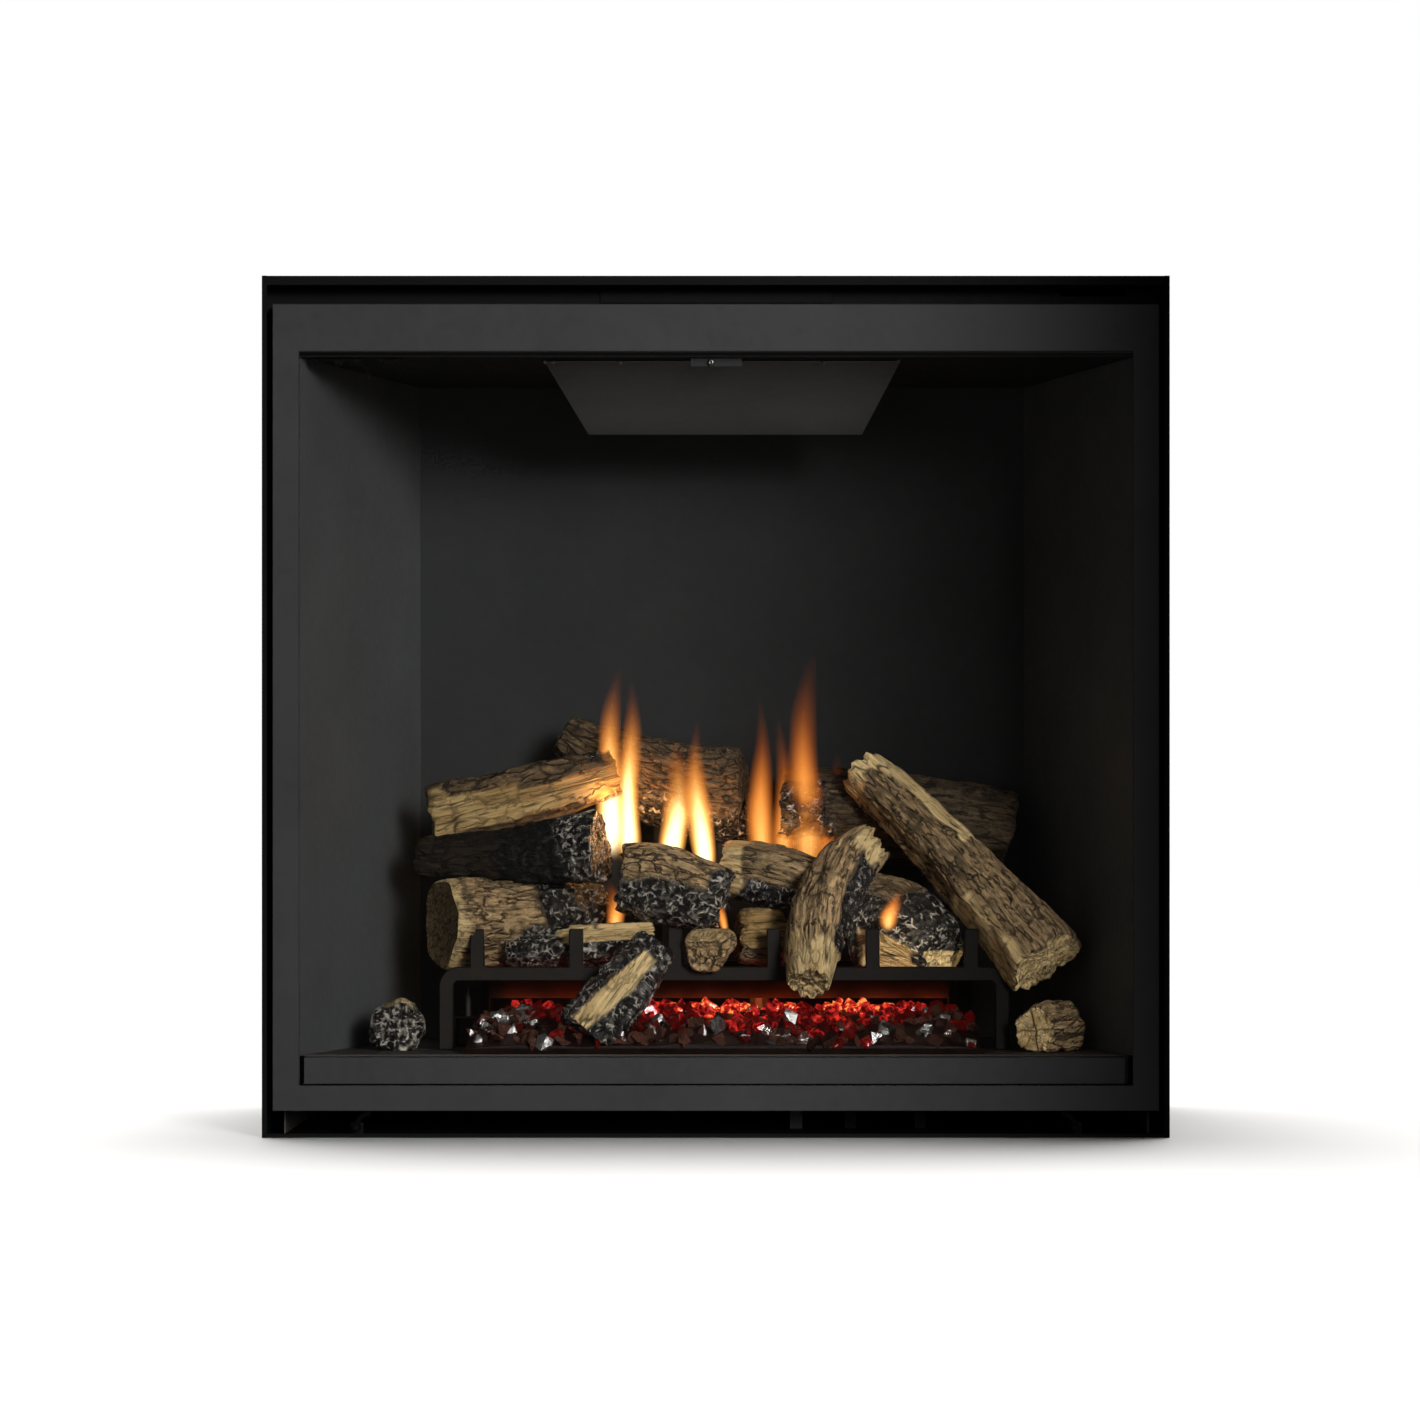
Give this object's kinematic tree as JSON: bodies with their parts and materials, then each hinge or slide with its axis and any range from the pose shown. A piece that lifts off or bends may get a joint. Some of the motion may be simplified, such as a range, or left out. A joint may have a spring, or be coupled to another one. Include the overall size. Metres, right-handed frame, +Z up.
{
  "type": "built-in gas fireplace",
  "caption": "Built-in gas fireplace: steel casing, splayed firebox behind a hinged glass front, grate, burner, glass embers and ceramic log set, with flue collars on top.",
  "frame": {"origin": "middle of the casing's underside", "axes": "+X to the right as seen from the front, +Y to the back, +Z up"},
  "size_m": [0.995, 0.56, 0.97],
  "materials": {
    "black_casing": "satin black",
    "charcoal_frame": "satin charcoal",
    "firebox_paint": "matt high-temperature black",
    "grate_steel": "matt dark grey",
    "bare_steel": "mill finish",
    "galvanised_steel": "galvanised",
    "brass": "satin",
    "ceramic_glass": "clear",
    "glass_seal": "woven glass fibre",
    "black_plastic": "moulded",
    "red_plastic": "moulded",
    "white_ceramic": "fired",
    "ember_glass": "crushed",
    "light_lens": "frosted",
    "ceramic_bark": "painted ceramic fibre",
    "charred_ceramic": "painted ceramic fibre, charred"
  },
  "bodies": {
    "fireplace": {"casing_base": "black_casing", "casing_left": "black_casing", "casing_right": "black_casing", "casing_back": "black_casing", "casing_top": "black_casing", "header_panel": "black_casing", "header_plate": "black_casing", "firebox_floor": "firebox_paint", "firebox_left_wall": "firebox_paint", "firebox_right_wall": "firebox_paint", "firebox_back_wall": "firebox_paint", "firebox_ceiling": "firebox_paint", "face_frame": "firebox_paint", "front_lip": "charcoal_frame", "flue_box": "galvanised_steel", "inner_collar": "galvanised_steel", "outer_collar": "galvanised_steel", "exhaust_baffle": "firebox_paint", "baffle_bracket": "charcoal_frame", "ceiling_clip": "charcoal_frame", "grate_front": "grate_steel", "grate_rear": "grate_steel", "burner_tray": "bare_steel", "burner_tube": "bare_steel", "gas_orifice": "brass", "pilot_bracket": "bare_steel", "spark_electrode": "white_ceramic", "flame_sensor": "bare_steel", "ember_tray": "grate_steel", "ember_bed": "ember_glass", "ember_light": "light_lens", "gas_valve": "galvanised_steel", "igniter": "black_plastic", "gas_line": "brass", "log_lower_left": "ceramic_bark", "log_front_left": "charred_ceramic", "log_mid_left": "charred_ceramic", "log_long_split": "ceramic_bark", "log_rear_left": "ceramic_bark", "log_centre": "ceramic_bark", "log_small_front": "ceramic_bark", "log_charred_leaning": "charred_ceramic", "log_lower_right": "charred_ceramic", "log_small_tan": "ceramic_bark", "log_bark_leaning": "ceramic_bark", "log_centre_right": "ceramic_bark", "log_right_leaning": "ceramic_bark", "log_rear_right": "ceramic_bark", "log_left_chunk": "charred_ceramic", "log_right_chunk": "ceramic_bark"},
    "front": {"front_frame": "charcoal_frame", "glass_pane": "ceramic_glass", "glass_seal": "glass_seal"},
    "left_latch": {"latch_left": "bare_steel"},
    "right_latch": {"latch_right": "bare_steel"},
    "gas_knob": {"gas_knob": "black_plastic"},
    "flame_knob": {"flame_knob": "black_plastic"},
    "igniter_button": {"igniter_button": "red_plastic"},
    "air_shutter": {"air_shutter": "bare_steel"},
    "restrictor": {"flue_restrictor": "galvanised_steel"}
  },
  "joints": [
    {"name": "front_hinge", "type": "hinge", "parent": "fireplace", "child": "front", "pos_m": [0, -0.2515, 0.9116], "axis": [-1, 0, 0], "range_deg": [0, 25]},
    {"name": "left_latch_pivot", "type": "hinge", "parent": "fireplace", "child": "left_latch", "pos_m": [-0.395, -0.264, 0.0105], "axis": [0, 1, 0], "range_deg": [0, 60]},
    {"name": "right_latch_pivot", "type": "hinge", "parent": "fireplace", "child": "right_latch", "pos_m": [0.395, -0.264, 0.0105], "axis": [0, -1, 0], "range_deg": [0, 60]},
    {"name": "gas_knob_turn", "type": "hinge", "parent": "fireplace", "child": "gas_knob", "pos_m": [0.1645, -0.17, 0.046], "axis": [0, 1, 0], "range_deg": [0, 90]},
    {"name": "flame_knob_turn", "type": "hinge", "parent": "fireplace", "child": "flame_knob", "pos_m": [0.2115, -0.17, 0.046], "axis": [0, 1, 0], "range_deg": [0, 120]},
    {"name": "igniter_press", "type": "slide", "parent": "fireplace", "child": "igniter_button", "axis": [0, 1, 0], "range_m": [0, 0.005], "stiffness_N_per_m": 800, "springref_m": -0.001},
    {"name": "air_shutter_turn", "type": "hinge", "parent": "fireplace", "child": "air_shutter", "pos_m": [0.116, -0.015, 0.045], "axis": [1, 0, 0], "range_deg": [0, 60]},
    {"name": "restrictor_slide", "type": "slide", "parent": "fireplace", "child": "restrictor", "axis": [0, 1, 0], "range_m": [0, 0.08]}
  ]
}
